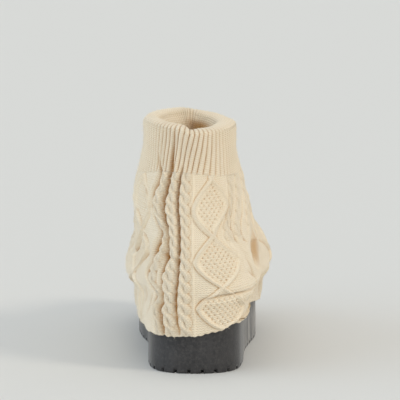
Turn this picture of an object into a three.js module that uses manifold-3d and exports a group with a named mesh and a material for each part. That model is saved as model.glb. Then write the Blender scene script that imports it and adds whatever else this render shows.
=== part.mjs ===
// Knit platform slipper, right foot: a cable-knit sock upper slouched on a black platform sole.
// Millimetres. +Y points to the toe, +X to the outer (lateral) side, +Z up.
// The shoe is laid out with its heel at y = 0 and centred on the floor at the end.
import * as THREE from "three";
import { mergeVertices } from "three/addons/utils/BufferGeometryUtils.js";
import Module from "manifold-3d";

const SOLE = {
  length: 270,
  heelTop: 44,
  ballTop: 39,
  toeSpring: 8,
  springStart: 205,
  edgeChamfer: 1.6,
  draft: 0.5,
  stations: 40,
};

// Edge lugs: narrow grooves run in from the rim of the tread.
const LUG = { pitch: 11.5, width: 2.4, height: 3.2, depth: 9 };

const INSOLE = { thickness: 5, inset: 1.9, edgeRound: 1.5 };

// The knit: wall of the body, doubled wall of the turned-in collar, and the raised cables.
const KNIT = { wall: 2.6, collarWall: 10.5, cableLift: 2.2, cableHalfAngle: 6.7, gap: 0.35 };

const MESH = { rowsPerLoop: 2, innerRowsPerLoop: 1, panelColumns: 7, rollSteps: 3 };

// Half widths of the sole at stations along the foot, each side of the heel's centre line.
// bridge is how far the knit stands off the hollow of the inner waist there.
const SOLE_SECTIONS = [
  { y: 2.6, medial: 17.5, lateral: 17.5, bridge: 0 },
  { y: 9.5, medial: 29, lateral: 29, bridge: 0 },
  { y: 20, medial: 35.6, lateral: 35.6, bridge: 0 },
  { y: 42, medial: 39.6, lateral: 39.4, bridge: 0.5 },
  { y: 92, medial: 38.8, lateral: 42.2, bridge: 6 },
  { y: 125, medial: 41.4, lateral: 47.4, bridge: 6 },
  { y: 150, medial: 46.6, lateral: 51.8, bridge: 2.5 },
  { y: 178, medial: 49.8, lateral: 52.6, bridge: 0 },
  { y: 208, medial: 49, lateral: 48.5, bridge: 0 },
  { y: 236, medial: 43, lateral: 38.5, bridge: 0 },
  { y: 254, medial: 33.5, lateral: 26.5, bridge: 0 },
  { y: 265.5, medial: 20.5, lateral: 11, bridge: 0 },
];
const TOE_TIP_X = -7;

// Rings of the upper from hem to collar: where each ring crosses the back and the front of the shoe,
// its half width and sideways shift as an ellipse, and its blend from foot outline (0) to ellipse (1).
const RINGS = [
  { name: "hem", backY: -3.4, backZ: 35, frontY: 273.4, frontZ: 37, half: 49, shiftX: 0, round: 0 },
  { name: "feather", backY: -4.5, backZ: 46, frontY: 274.5, frontZ: 49, half: 49, shiftX: 0, round: 0 },
  { name: "lower", backY: -5.5, backZ: 55, frontY: 275, frontZ: 59, half: 49, shiftX: 0, round: 0.02 },
  { name: "tuck", backY: -6, backZ: 63, frontY: 273, frontZ: 69, half: 49, shiftX: 0, round: 0.05 },
  { name: "toeCrown", backY: -6.5, backZ: 72, frontY: 266, frontZ: 78.5, half: 49, shiftX: 0, round: 0.12 },
  { name: "toeTop", backY: -6.5, backZ: 81, frontY: 254, frontZ: 87, half: 49, shiftX: 0, round: 0.28 },
  { name: "vamp", backY: -6, backZ: 90, frontY: 237, frontZ: 95, half: 49, shiftX: 0, round: 0.48 },
  { name: "ball", backY: -4.5, backZ: 99, frontY: 216, frontZ: 103, half: 49.5, shiftX: -0.5, round: 0.66 },
  { name: "instep", backY: -2, backZ: 108, frontY: 195, frontZ: 112, half: 49.5, shiftX: -1.2, round: 0.82 },
  { name: "throat", backY: 1.5, backZ: 117, frontY: 177, frontZ: 122, half: 49, shiftX: -2, round: 0.93 },
  { name: "ankle", backY: 5.5, backZ: 126, frontY: 163, frontZ: 133, half: 48, shiftX: -3, round: 1 },
  { name: "leg", backY: 9.5, backZ: 136, frontY: 154, frontZ: 144, half: 46.2, shiftX: -4.2, round: 1 },
  { name: "upperLeg", backY: 13, backZ: 147, frontY: 148.5, frontZ: 154, half: 44.2, shiftX: -5, round: 1 },
  { name: "ribStart", backY: 16, backZ: 158, frontY: 145, frontZ: 163, half: 42, shiftX: -5, round: 1 },
  { name: "rib", backY: 18.5, backZ: 171, frontY: 142.5, frontZ: 174, half: 39.6, shiftX: -4.9, round: 1 },
  { name: "upperRib", backY: 19.5, backZ: 186, frontY: 141, frontZ: 187, half: 38.2, shiftX: -4.8, round: 1 },
  { name: "rim", backY: 20, backZ: 199.3, frontY: 140.5, frontZ: 199.3, half: 37.8, shiftX: -4.8, round: 1 },
];
const RIB_START = RINGS.findIndex((ring) => ring.name === "ribStart");

// Above the hem the foot of the upper leans in on the inner side and swells a little on the outer side.
const LEAN = { medial: -0.1, medialRing: 4, lateral: 0.03, lateralRing: 2 };

// Height of the hem's edge around the shoe; angles run from the back (0) over the outer side (90).
const HEM = [
  { angle: 0, z: 36.2 },
  { angle: 10, z: 38 },
  { angle: 20, z: 41 },
  { angle: 29, z: 43.3 },
  { angle: 42, z: 43.3 },
  { angle: 65, z: 41.8 },
  { angle: 110, z: 32.5 },
  { angle: 180, z: 36 },
  { angle: 245, z: 32 },
  { angle: 280, z: 28.5 },
  { angle: 320, z: 31.5 },
];

// Slouch folds: ridge angle and height, reach along the ring (degrees), upwards and downwards, and lift.
const FOLDS = [
  { name: "outerAnkle", angle: 80, reach: 38, z: 70, above: 33, below: 8, lift: 12 },
  { name: "outerHeel", angle: 32, reach: 20, z: 70, above: 26, below: 7, lift: 5 },
  { name: "innerAnkle", angle: 281, reach: 34, z: 70, above: 24, below: 9, lift: 16 },
  { name: "lowInstep", angle: 180, reach: 48, z: 112, above: 9, below: 7, lift: 4 },
  { name: "midInstep", angle: 172, reach: 62, z: 131, above: 9, below: 7, lift: 7.5 },
  { name: "highInstep", angle: 190, reach: 55, z: 152, above: 9, below: 7, lift: 5 },
];

// The rim of the collar sags a little on the outer side.
const RIM_SAG = 2.5;

// Where the knitted columns stand round the leg: three cables between each pair of diamond panels.
const CABLE_ANGLES = [-36, -22.5, -9, 46, 60, 74, 141, 155, 169, 233, 247, 261];
const HEM_TWIST = { degrees: 8, fadeRing: 9 };

const toRadians = THREE.MathUtils.degToRad;
const lerp = THREE.MathUtils.lerp;
const smooth = THREE.MathUtils.smoothstep;

// Value of one column of a table at a fractional row, by a Catmull-Rom curve through the rows.
function columnAt(table, key, row, closed = false) {
  const count = table.length;
  const pick = (i) =>
    table[closed ? ((i % count) + count) % count : THREE.MathUtils.clamp(i, 0, count - 1)][key];
  const base = closed ? Math.floor(row) : Math.min(Math.floor(row), count - 2);
  const t = row - base;
  const [a, b, c, d] = [pick(base - 1), pick(base), pick(base + 1), pick(base + 2)];
  return b + 0.5 * t * (c - a + t * (2 * a - 5 * b + 4 * c - d + t * (3 * (b - c) + d - a)));
}

// Wrapped difference of two angles in degrees, from -180 to 180.
function angleBetween(a, b) {
  return THREE.MathUtils.euclideanModulo(a - b + 180, 360) - 180;
}

// Hem edge height at an angle round the shoe, eased between the rows of the table.
function hemHeight(degrees) {
  const angle = THREE.MathUtils.euclideanModulo(degrees, 360);
  const next = HEM.findIndex((row) => row.angle > angle);
  const right = next < 0 ? { angle: 360, z: HEM[0].z } : HEM[next];
  const left = HEM[next < 0 ? HEM.length - 1 : next - 1];
  return lerp(left.z, right.z, smooth(angle, left.angle, right.angle));
}

// Closed outline of the sole, or of the knit that stands off it, as a curve in plan.
function outlineCurve(standOff, withBridge) {
  const side = (row, key, sign) => {
    const bridge = withBridge && key === "medial" ? row.bridge : 0;
    return new THREE.Vector3(sign * (row[key] + bridge), row.y, 0);
  };
  const points = [
    new THREE.Vector3(0, 0, 0),
    ...SOLE_SECTIONS.map((row) => side(row, "lateral", 1)),
    new THREE.Vector3(TOE_TIP_X, SOLE.length, 0),
    ...[...SOLE_SECTIONS].reverse().map((row) => side(row, "medial", -1)),
  ];
  const plain = new THREE.CatmullRomCurve3(points, true, "centripetal");
  if (!standOff) return plain;
  const moved = points.map((point, i) => {
    const tangent = plain.getTangent(i / points.length);
    return point.clone().add(new THREE.Vector3(tangent.y, -tangent.x, 0).multiplyScalar(standOff));
  });
  return new THREE.CatmullRomCurve3(moved, true, "centripetal");
}

// Foot outline of the knit, read by the turn u from 0 to 1: halfway between equal steps along
// the outline and equal steps of an ellipse's angle, so the knitted columns fan out evenly.
function footOutline() {
  const samples = outlineCurve(KNIT.wall + KNIT.gap, true).getPoints(720);
  const low = Math.min(...samples.map((p) => p.y));
  const high = Math.max(...samples.map((p) => p.y));
  const toe = samples.findIndex((p) => p.y === high);
  const lengths = [0];
  for (let i = 1; i < samples.length; i++)
    lengths.push(lengths[i - 1] + samples[i].distanceTo(samples[i - 1]));
  const total = lengths.at(-1);
  const rows = samples.map((p, i) => {
    const eta = (p.y - low) / (high - low);
    const angle = Math.acos(THREE.MathUtils.clamp(1 - 2 * eta, -1, 1)) / (2 * Math.PI);
    return { turn: 0.5 * (lengths[i] / total) + 0.5 * (i <= toe ? angle : 1 - angle), x: p.x, eta };
  });
  rows[0].turn = 0;
  rows.at(-1).turn = 1;
  return (u) => {
    const turn = THREE.MathUtils.euclideanModulo(u, 1);
    const after = rows.findIndex((row) => row.turn > turn);
    const [a, b] = [rows[after - 1], rows[after]];
    const t = (turn - a.turn) / (b.turn - a.turn);
    return { x: lerp(a.x, b.x, t), eta: lerp(a.eta, b.eta, t) };
  };
}
const footAt = footOutline();

// Point of the upper's smooth outer form at turn u round the shoe and ring position v.
function formPoint(u, v) {
  const ring = (key) => columnAt(RINGS, key, v);
  const angle = 2 * Math.PI * u;
  const foot = footAt(u);
  const round = THREE.MathUtils.clamp(ring("round"), 0, 1);
  const eta = lerp(foot.eta, (1 - Math.cos(angle)) / 2, round);
  const lean =
    foot.x < 0
      ? LEAN.medial * smooth(v, 0, LEAN.medialRing)
      : LEAN.lateral * smooth(v, 0, LEAN.lateralRing) * (1 - smooth(v, LEAN.lateralRing, 5));
  const footX = foot.x * (1 + lean);
  const x = lerp(footX, ring("shiftX") + ring("half") * Math.sin(angle), round);
  const y = lerp(ring("backY"), ring("frontY"), eta);
  const flatZ = lerp(ring("backZ"), ring("frontZ"), eta);
  const hemDrop = hemHeight(u * 360) - lerp(RINGS[0].backZ, RINGS[0].frontZ, eta);
  const sag = RIM_SAG * Math.sin(angle) * smooth(v, RIB_START, RINGS.length - 1);
  return new THREE.Vector3(x, y, flatZ + hemDrop * Math.max(0, 1 - v) - sag);
}

// Outward normal of the smooth form.
function formNormal(u, v) {
  const stepU = 0.004;
  const stepV = 0.15;
  const last = RINGS.length - 1;
  const along = formPoint(u + stepU, v).sub(formPoint(u - stepU, v));
  const up = formPoint(u, Math.min(v + stepV, last)).sub(formPoint(u, Math.max(v - stepV, 0)));
  return along.cross(up).normalize();
}

// How far the slouch folds lift the knit off the smooth form.
function foldLift(u, z) {
  return FOLDS.reduce((sum, fold) => {
    const turn = angleBetween(u * 360, fold.angle) / fold.reach;
    const climb = (z - fold.z) / (z > fold.z ? fold.above : fold.below);
    return sum + fold.lift * Math.exp(-turn * turn - climb * climb);
  }, 0);
}

// Height of the raised cables across the columns, from hem to the start of the rib.
function cableLift(columnAngle, v) {
  const nearest = Math.min(...CABLE_ANGLES.map((c) => Math.abs(angleBetween(columnAngle, c))));
  const crest = 0.5 + 0.5 * Math.cos(Math.PI * Math.min(1, nearest / KNIT.cableHalfAngle));
  return KNIT.cableLift * Math.sqrt(crest) * (1 - smooth(v, RIB_START - 1, RIB_START));
}

// The columns of the knit lean round the heel towards the hem.
function columnTurn(columnAngle, v) {
  return (columnAngle + HEM_TWIST.degrees * (1 - smooth(v, 0, HEM_TWIST.fadeRing))) / 360;
}

function wallAt(v) {
  return lerp(KNIT.wall, KNIT.collarWall, smooth(v, RIB_START - 0.2, RIB_START + 0.5));
}

function outerPoint(columnAngle, v) {
  const u = columnTurn(columnAngle, v);
  const point = formPoint(u, v);
  const lift = foldLift(u, point.z) + cableLift(columnAngle, v);
  return point.addScaledVector(formNormal(u, v), lift);
}

function innerPoint(columnAngle, v) {
  const u = columnTurn(columnAngle, v);
  const point = formPoint(u, v);
  return point.addScaledVector(formNormal(u, v), foldLift(u, point.z) - wallAt(v));
}

// Rounded top edge where the collar turns in on itself.
function rollPoint(columnAngle, turn) {
  const top = RINGS.length - 1;
  const u = columnTurn(columnAngle, top);
  const radius = KNIT.collarWall / 2;
  const across = radius * (1 - Math.cos(Math.PI * turn));
  const point = formPoint(u, top).addScaledVector(formNormal(u, top), -across);
  point.z += radius * Math.sin(Math.PI * turn);
  return point;
}

// Column angles: the valleys and crests of every cable, and even steps over the panels between.
function columnAngles() {
  const edge = KNIT.cableHalfAngle;
  const groups = [];
  for (let i = 0; i < CABLE_ANGLES.length; i += 3) groups.push(CABLE_ANGLES.slice(i, i + 3));
  return groups.flatMap((group, i) => {
    const cables = group.flatMap((c) => [c - edge, c - edge / 2, c + edge / 2]);
    const start = group[2] + edge;
    const nextGroup = groups[(i + 1) % groups.length];
    const end = nextGroup[0] - edge + (i + 1 === groups.length ? 360 : 0);
    const panel = Array.from({ length: MESH.panelColumns }, (_, k) =>
      lerp(start, end, k / MESH.panelColumns),
    );
    return [...cables, ...panel];
  });
}

// Closed surface from rows of points that close on themselves both ways.
function closedGrid(rows) {
  const across = rows[0].length;
  const geometry = new THREE.BufferGeometry().setFromPoints(rows.flat());
  const index = [];
  rows.forEach((_, j) => {
    const next = ((j + 1) % rows.length) * across;
    for (let i = 0; i < across; i++) {
      const [a, b] = [j * across + i, j * across + ((i + 1) % across)];
      const [c, d] = [next + ((i + 1) % across), next + i];
      index.push(a, b, c, a, c, d);
    }
  });
  return geometry.setIndex(index);
}

function knitUpperGeometry() {
  const columns = columnAngles();
  const last = RINGS.length - 1;
  const rows = [];
  for (let v = 0; v <= last; v += 1 / MESH.rowsPerLoop)
    rows.push(columns.map((angle) => outerPoint(angle, v)));
  for (let k = 1; k <= MESH.rollSteps; k++)
    rows.push(columns.map((angle) => rollPoint(angle, k / (MESH.rollSteps + 1))));
  for (let v = last; v >= 0; v -= 1 / MESH.innerRowsPerLoop)
    rows.push(columns.map((angle) => innerPoint(angle, v)));
  return closedGrid(rows);
}

// Underside and top of the sole along the foot.
function soleBottom(y) {
  const rise = Math.max(0, (y - SOLE.springStart) / (SOLE.length - SOLE.springStart));
  return SOLE.toeSpring * rise * rise;
}
function soleTop(y) {
  return lerp(SOLE.heelTop, SOLE.ballTop, smooth(y, 60, SOLE.springStart - 40)) + soleBottom(y);
}

// Left and right edge of a plan outline at matching stations, heel to toe.
function edgeStations(curve, count) {
  const points = curve.getPoints(1200);
  const ends = points.map((p) => p.y);
  const [heel, toe] = [Math.min(...ends), Math.max(...ends)];
  const tip = ends.indexOf(toe);
  const crossing = (side, y) => {
    const i = side.findIndex((p, k) => k > 0 && (side[k - 1].y - y) * (p.y - y) <= 0);
    const t = (y - side[i - 1].y) / (side[i].y - side[i - 1].y || 1);
    return lerp(side[i - 1].x, side[i].x, t);
  };
  const lateral = points.slice(0, tip + 1);
  const medial = points.slice(tip);
  return Array.from({ length: count - 1 }, (_, k) => {
    const y = lerp(heel, toe, (1 - Math.cos((Math.PI * (k + 1)) / count)) / 2);
    return { y, lateral: crossing(lateral, y), medial: crossing(medial, y) };
  }).concat([{ y: toe, tip: points[tip].x }, { y: heel, tip: points[0].x }]);
}

// Solid between stacked copies of one plan outline. Each layer gives an inset and a height over y.
function stackedOutline(curve, count, layers) {
  const stations = edgeStations(curve, count);
  const heel = stations.pop();
  const toe = stations.pop();
  const middle = (row) => (row.lateral + row.medial) / 2;
  const ring = (layer) => {
    const [first, last] = [stations[0], stations.at(-1)];
    const shrink = (row, x) => {
      const half = (row.lateral - row.medial) / 2;
      return middle(row) + (x - middle(row)) * Math.max(0.2, (half - layer.inset) / half);
    };
    const squeeze = (y) => lerp(heel.y + layer.inset, toe.y - layer.inset, (y - heel.y) / (toe.y - heel.y));
    const at = (x, y) => new THREE.Vector3(x, squeeze(y), layer.z(y));
    return [
      at(lerp(heel.tip, middle(first), 0), heel.y),
      ...stations.map((row) => at(shrink(row, row.lateral), row.y)),
      at(lerp(toe.tip, middle(last), 0), toe.y),
      ...[...stations].reverse().map((row) => at(shrink(row, row.medial), row.y)),
    ];
  };
  const rings = layers.map(ring);
  const across = rings[0].length;
  const index = [];
  for (let j = 0; j + 1 < rings.length; j++)
    for (let i = 0; i < across; i++) {
      const [a, b] = [j * across + i, j * across + ((i + 1) % across)];
      index.push(a, b, b + across, a, b + across, a + across);
    }
  const half = across / 2;
  const cap = (start, flip) => {
    for (let i = 0; i < half; i++) {
      const [a, b] = [start + i, start + i + 1];
      const [c, d] = [start + ((across - i - 1) % across), start + ((across - i) % across)];
      const faces = [];
      if (b !== c) faces.push([a, c, b]);
      if (a !== d) faces.push([a, d, c]);
      faces.forEach(([p, q, r]) => index.push(...(flip ? [p, r, q] : [p, q, r])));
    }
  };
  cap(0, false);
  cap((rings.length - 1) * across, true);
  return new THREE.BufferGeometry().setFromPoints(rings.flat()).setIndex(index);
}

const wasm = await Module();
wasm.setup();

function toSolid(geometry) {
  const bare = geometry.clone();
  bare.deleteAttribute("normal");
  bare.deleteAttribute("uv");
  const merged = mergeVertices(bare, 1e-4);
  return new wasm.Manifold(
    new wasm.Mesh({
      numProp: 3,
      vertProperties: new Float32Array(merged.attributes.position.array),
      triVerts: new Uint32Array(merged.index.array),
    }),
  );
}

function toGeometry(solid) {
  const mesh = solid.getMesh();
  return new THREE.BufferGeometry()
    .setAttribute("position", new THREE.BufferAttribute(mesh.vertProperties, 3))
    .setIndex(new THREE.BufferAttribute(mesh.triVerts, 1));
}

function platformSoleGeometry() {
  const curve = outlineCurve(0, false);
  const body = stackedOutline(curve, SOLE.stations, [
    { inset: SOLE.edgeChamfer, z: (y) => soleBottom(y) },
    { inset: 0, z: (y) => soleBottom(y) + SOLE.edgeChamfer },
    { inset: SOLE.draft, z: (y) => soleTop(y) },
  ]);
  const count = Math.round(curve.getLength() / LUG.pitch);
  const grooves = Array.from({ length: count }, (_, i) => {
    const at = (i + 0.5) / count;
    const point = curve.getPointAt(at);
    const tangent = curve.getTangentAt(at);
    const height = LUG.height + 2;
    const groove = new THREE.BoxGeometry(LUG.width, 2 * LUG.depth, height);
    groove.rotateZ(Math.atan2(tangent.y, tangent.x));
    groove.translate(point.x, point.y, soleBottom(point.y) + LUG.height - height / 2);
    return toSolid(groove);
  });
  return toGeometry(grooves.reduce((sole, groove) => sole.subtract(groove), toSolid(body)));
}

function insoleGeometry() {
  const lift = KNIT.gap;
  const flat = (rise) => (y) => soleTop(y) + lift + rise;
  return stackedOutline(outlineCurve(-INSOLE.inset, true), SOLE.stations / 2, [
    { inset: 0, z: flat(0) },
    { inset: 0, z: flat(INSOLE.thickness - INSOLE.edgeRound) },
    { inset: INSOLE.edgeRound, z: flat(INSOLE.thickness) },
  ]);
}

function piece(name, geometry, colour, roughness) {
  geometry.computeVertexNormals();
  const material = new THREE.MeshStandardMaterial({ color: colour, roughness, metalness: 0 });
  const mesh = new THREE.Mesh(geometry, material);
  mesh.name = name;
  return mesh;
}

const slipper = new THREE.Group();
slipper.add(piece("platform_sole", platformSoleGeometry(), 0x3b3a3c, 0.72));
slipper.add(piece("knit_upper", knitUpperGeometry(), 0xe6dac1, 0.95));
slipper.add(piece("insole", insoleGeometry(), 0xcfc4b0, 0.95));

const box = new THREE.Box3().setFromObject(slipper);
const centre = box.getCenter(new THREE.Vector3());
slipper.position.set(-centre.x, -centre.y, -box.min.z);

export default slipper;
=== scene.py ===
import math
import bpy
import numpy as np
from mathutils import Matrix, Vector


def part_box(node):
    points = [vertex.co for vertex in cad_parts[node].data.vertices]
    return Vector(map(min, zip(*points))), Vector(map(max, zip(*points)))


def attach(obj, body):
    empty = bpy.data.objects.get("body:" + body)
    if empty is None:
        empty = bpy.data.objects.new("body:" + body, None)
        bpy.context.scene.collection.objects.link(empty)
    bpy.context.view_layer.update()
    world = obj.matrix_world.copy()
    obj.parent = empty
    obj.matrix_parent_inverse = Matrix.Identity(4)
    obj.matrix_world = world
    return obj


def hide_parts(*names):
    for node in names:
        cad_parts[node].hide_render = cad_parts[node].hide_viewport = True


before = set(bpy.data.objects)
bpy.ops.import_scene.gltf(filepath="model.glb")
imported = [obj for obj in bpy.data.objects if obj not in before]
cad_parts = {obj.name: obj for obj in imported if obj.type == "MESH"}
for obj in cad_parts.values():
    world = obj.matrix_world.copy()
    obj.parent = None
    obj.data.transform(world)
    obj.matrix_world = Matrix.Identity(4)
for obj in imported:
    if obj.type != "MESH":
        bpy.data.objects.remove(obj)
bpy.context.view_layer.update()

# Camera: a long lens behind the heel, a little above the collar.

view = {"behind": 2500, "height": 550, "lookAt": (3.8, 100, 129.7),  # mm
        "lens": 278.0, "sensor": 36, "farthest": 100}

# Half widths of the sole along the foot, in mm from the heel's back; bridge is how far
# the knit stands off the hollow inner waist.
soleForm = {
    "sections": [  # y, inner half width, outer half width, bridge
        (2.6, 17.5, 17.5, 0), (9.5, 29, 29, 0), (20, 35.6, 35.6, 0), (42, 39.6, 39.4, 0.5),
        (92, 38.8, 42.2, 6), (125, 41.4, 47.4, 6), (150, 46.6, 51.8, 2.5), (178, 49.8, 52.6, 0),
        (208, 49, 48.5, 0), (236, 43, 38.5, 0), (254, 33.5, 26.5, 0), (265.5, 20.5, 11, 0),
    ],
    "length": 270, "toeTipX": -7, "heelTop": 44, "ballTop": 39, "toeSpring": 8, "springStart": 205,
    "slopeStart": 60, "slopeEnd": 165, "lugPitch": 11.5, "lugWidth": 2.4, "lugHeight": 3.2, "lugDepth": 9,
    "outlinePoints": 2400, "columns": 1180,
}


def smooth(x, low, high):
    t = np.clip((x - low) / (high - low), 0, 1)
    return t * t * (3 - 2 * t)


def band(x, rise, full, fall, end):
    return smooth(x, rise, full) * (1 - smooth(x, fall, end))


def splineLoop(points, t):  # closed centripetal curve through the points
    n = len(points)
    cell = np.floor(t * n).astype(int)
    w = (t * n - cell)[:, None]
    a, b, c, d = (points[(cell + k) % n] for k in (-1, 0, 1, 2))
    da, db, dc = (np.sqrt(np.linalg.norm(q - p, axis=1))[:, None] for p, q in ((a, b), (b, c), (c, d)))
    start = ((b - a) / da - (c - a) / (da + db) + (c - b) / db) * db
    end = ((c - b) / db - (d - b) / (db + dc) + (d - c) / dc) * db
    return b + w * (start + w * (3 * (c - b) - 2 * start - end + w * (2 * (b - c) + start + end)))


def soleOutline(standOff=0.0, bridged=False, count=720):
    rows = soleForm["sections"]
    points = [(0, 0)] + [(r[2], r[0]) for r in rows] + [(soleForm["toeTipX"], soleForm["length"])]
    points += [(-(r[1] + (r[3] if bridged else 0)), r[0]) for r in rows[::-1]]
    points = np.array(points, float)
    if standOff:
        t = np.arange(len(points)) / len(points)
        along = splineLoop(points, t + 1e-4) - splineLoop(points, t - 1e-4 + 1)
        along /= np.linalg.norm(along, axis=1)[:, None]
        points = points + standOff * np.stack([along[:, 1], -along[:, 0]], 1)
    return splineLoop(points, np.arange(count) / count)


soleLow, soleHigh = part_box("platform_sole")
plainOutline = soleOutline(count=soleForm["outlinePoints"])
shoeShift = np.array([soleHigh[0] * 1000 - plainOutline[:, 0].max(),
                      soleLow[1] * 1000 - plainOutline[:, 1].min(), 0])


def toFrame(points):  # shoe millimetres, heel at the origin, to metres in the shared frame
    return (np.asarray(points, float) + shoeShift) / 1000


cameraData = bpy.data.cameras.new("heelCamera")
cameraData.lens = view["lens"]
cameraData.sensor_width = view["sensor"]
cameraData.clip_end = view["farthest"]
camera = bpy.data.objects.new("heelCamera", cameraData)
bpy.context.scene.collection.objects.link(camera)
eye = toFrame((0, -view["behind"], view["height"]))
gaze = toFrame(view["lookAt"]) - eye
camera.location = eye
tilt, swing = math.atan2(math.hypot(gaze[0], gaze[1]), -gaze[2]), -math.atan2(gaze[0], gaze[1])
camera.rotation_euler = (tilt, 0, swing)
bpy.context.scene.camera = camera
print("camera set", [round(float(c), 3) for c in eye])

# The upper's form: the same rings and folds as the solid.

upperForm = {
    "rings": np.array([  # backY, backZ, frontY, frontZ, half width, shift, roundness; hem to rim
        (-3.4, 35, 273.4, 37, 49, 0, 0), (-4.5, 46, 274.5, 49, 49, 0, 0), (-5.5, 55, 275, 59, 49, 0, 0.02),
        (-6, 63, 273, 69, 49, 0, 0.05), (-6.5, 72, 266, 78.5, 49, 0, 0.12), (-6.5, 81, 254, 87, 49, 0, 0.28),
        (-6, 90, 237, 95, 49, 0, 0.48), (-4.5, 99, 216, 103, 49.5, -0.5, 0.66),
        (-2, 108, 195, 112, 49.5, -1.2, 0.82), (1.5, 117, 177, 122, 49, -2, 0.93),
        (5.5, 126, 163, 133, 48, -3, 1), (9.5, 136, 154, 144, 46.2, -4.2, 1),
        (13, 147, 148.5, 154, 44.2, -5, 1), (16, 158, 145, 163, 42, -5, 1),
        (18.5, 171, 142.5, 174, 39.6, -4.9, 1), (19.5, 186, 141, 187, 38.2, -4.8, 1),
        (20, 199.3, 140.5, 199.3, 37.8, -4.8, 1),
    ], float),
    "hem": [  # angle, height
        (0, 36.2), (10, 38), (20, 41), (29, 43.3), (42, 43.3), (65, 41.8), (110, 32.5), (180, 36),
        (245, 32), (280, 28.5), (320, 31.5), (360, 36.2),
    ],
    "ribRing": 13, "rimRing": 16, "rimSag": 2.5, "wall": 2.6, "standOff": 2.95,
    "innerLean": -0.1, "outerSwell": 0.03, "lipReach": 2.2, "turnStep": 0.004, "ringStep": 0.15,
    "folds": [  # angle, reach, height, reach up, reach down, lift, droop of the lip
        (80, 38, 70, 33, 8, 12, 2), (32, 20, 69, 26, 6, 5.5, 2), (281, 34, 70, 24, 9, 15, 1.5),
        (180, 48, 112, 9, 7, 4, 1), (172, 62, 131, 9, 7, 7.5, 2), (190, 55, 152, 9, 7, 5, 1),
    ],
}


def footRing():  # the knit's foot outline, read by turn: half arc length, half ellipse angle
    p = soleOutline(upperForm["standOff"], True)
    p = np.vstack([p, p[:1]])
    low, high, toe = p[:, 1].min(), p[:, 1].max(), p[:, 1].argmax()
    run = np.r_[0, np.cumsum(np.linalg.norm(np.diff(p, axis=0), axis=1))]
    eta = (p[:, 1] - low) / (high - low)
    angle = np.arccos(np.clip(1 - 2 * eta, -1, 1)) / (2 * np.pi)
    angle = np.where(np.arange(len(p)) <= toe, angle, 1 - angle)
    turn = 0.5 * run / run[-1] + 0.5 * angle
    turn[0], turn[-1] = 0, 1
    return turn, p[:, 0], eta


footTurn, footX, footEta = footRing()


def ringValue(v, column):
    rings = upperForm["rings"]
    last = len(rings) - 1
    base = np.minimum(np.floor(v).astype(int), last - 1)
    t = v - base
    a, b, c, d = (rings[np.clip(base + k, 0, last), column] for k in (-1, 0, 1, 2))
    return b + 0.5 * t * (c - a + t * (2 * a - 5 * b + 4 * c - d + t * (3 * (b - c) + d - a)))


def hemHeight(degrees):
    degrees = degrees % 360
    angles, heights = (np.array(c, float) for c in zip(*upperForm["hem"]))
    i = np.clip(np.searchsorted(angles, degrees, "right") - 1, 0, len(angles) - 2)
    return heights[i] + (heights[i + 1] - heights[i]) * smooth(degrees, angles[i], angles[i + 1])


def formPoint(turn, v):
    turn, v = np.broadcast_arrays(np.asarray(turn, float), np.asarray(v, float))
    fx, fe = np.interp(turn % 1, footTurn, footX), np.interp(turn % 1, footTurn, footEta)
    angle = 2 * np.pi * turn
    roundness = np.clip(ringValue(v, 6), 0, 1)
    eta = fe + ((1 - np.cos(angle)) / 2 - fe) * roundness
    innerLean = upperForm["innerLean"] * smooth(v, 0, 4)
    lean = np.where(fx < 0, innerLean, upperForm["outerSwell"] * band(v, 0, 2, 2, 5))
    fx = fx * (1 + lean)
    x = fx + (ringValue(v, 5) + ringValue(v, 4) * np.sin(angle) - fx) * roundness
    y = ringValue(v, 0) + (ringValue(v, 2) - ringValue(v, 0)) * eta
    z = ringValue(v, 1) + (ringValue(v, 3) - ringValue(v, 1)) * eta
    low = upperForm["rings"][0]
    z = z + (hemHeight(turn * 360) - (low[1] + (low[3] - low[1]) * eta)) * np.maximum(0, 1 - v)
    z = z - upperForm["rimSag"] * np.sin(angle) * smooth(v, upperForm["ribRing"], upperForm["rimRing"])
    return np.stack([x, y, z], -1)


def formNormal(turn, v):
    side, step = upperForm["turnStep"], upperForm["ringStep"]
    across = formPoint(turn + side, v) - formPoint(turn - side, v)
    above, below = np.minimum(v + step, upperForm["rimRing"]), np.maximum(v - step, 0)
    up = formPoint(turn, above) - formPoint(turn, below)
    normal = np.cross(across, up)
    return normal / np.linalg.norm(normal, axis=-1, keepdims=True)


def wrapped(degrees):
    return (degrees + 180) % 360 - 180


def slouched(turn, v, inwards=0.0):  # the slack form with its folds, and the normal it was lifted along
    points, normal = formPoint(turn, v), formNormal(turn, v)
    z = points[..., 2]
    lift, droop = np.zeros(z.shape), np.zeros(z.shape)
    for angle, reach, height, above, below, amount, sag in upperForm["folds"]:
        side = wrapped(turn * 360 - angle) / reach
        climb = (z - height) / np.where(z > height, above, below)
        lift += amount * np.exp(-side * side - climb * climb)
        droop += sag * np.exp(-side * side - ((z - height) / (upperForm["lipReach"] * below)) ** 2)
    points = points + normal * (lift - inwards)[..., None]
    points[..., 2] -= droop
    return points, normal


# Mesh of the whole outside, from hem to rim: close columns at the back, wider ones in front.

outside = {"backColumns": 600, "frontColumns": 300, "bodyRows": 300, "collarRows": 60}
turns = np.concatenate([
    np.linspace(-0.5, -0.25, outside["frontColumns"] // 2, endpoint=False),
    np.linspace(-0.25, 0.25, outside["backColumns"], endpoint=False),
    np.linspace(0.25, 0.5, outside["frontColumns"] // 2 + 1)])
ribRing, rimRing = upperForm["ribRing"], upperForm["rimRing"]
rings = np.concatenate([np.linspace(0, ribRing, outside["bodyRows"], endpoint=False),
                        np.linspace(ribRing, rimRing, outside["collarRows"] + 1)])
degrees = turns * 360
cloth, _ = slouched(turns[None, :], rings[:, None])


def unit(vectors):
    return vectors / np.linalg.norm(vectors, axis=-1, keepdims=True)


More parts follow.
